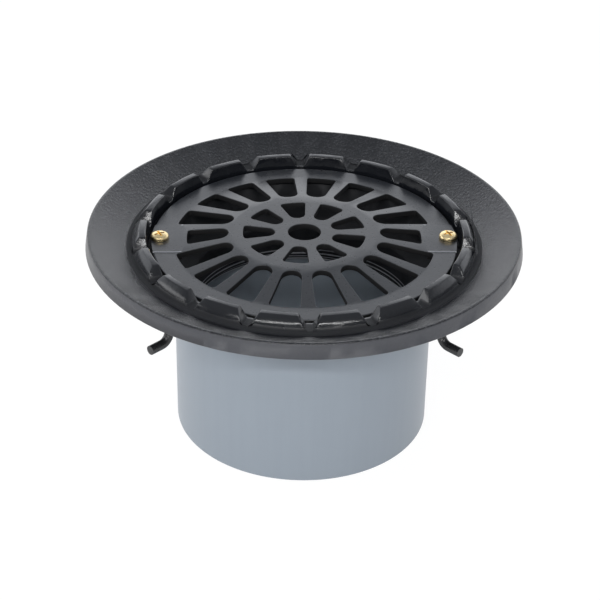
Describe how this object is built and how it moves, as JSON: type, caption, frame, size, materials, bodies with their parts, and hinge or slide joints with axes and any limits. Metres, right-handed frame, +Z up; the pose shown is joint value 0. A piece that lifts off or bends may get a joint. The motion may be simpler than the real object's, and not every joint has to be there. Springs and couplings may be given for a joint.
{
  "type": "flat roof drain",
  "caption": "Cast-iron flat roof drain with a dished flange, a castellated weep crown, a screwed-down slotted strainer, bent anchor legs and a push-on outlet pipe.",
  "frame": {"origin": "centre of the outlet pipe's cut lower end", "axes": "+Z up the axis of the outlet; +X through the right-hand strainer screw; -Y towards the front"},
  "size_m": [0.19, 0.19, 0.095],
  "materials": {
    "body_iron": "sand-textured semi-gloss black paint on cast iron",
    "strainer_iron": "satin dark grey paint on cast iron",
    "screw_brass": "bright machined brass",
    "pipe_plastic": "smooth blue-grey extruded PVC",
    "leg_steel": "gloss black paint on bent round bar"
  },
  "bodies": {
    "root": {"body": "body_iron", "strainer": "strainer_iron", "screw_left": "screw_brass", "screw_right": "screw_brass", "outlet_pipe": "pipe_plastic", "anchor_leg_front_left": "leg_steel", "anchor_leg_front_right": "leg_steel", "anchor_leg_back_left": "leg_steel", "anchor_leg_back_right": "leg_steel"}
  },
  "joints": []
}
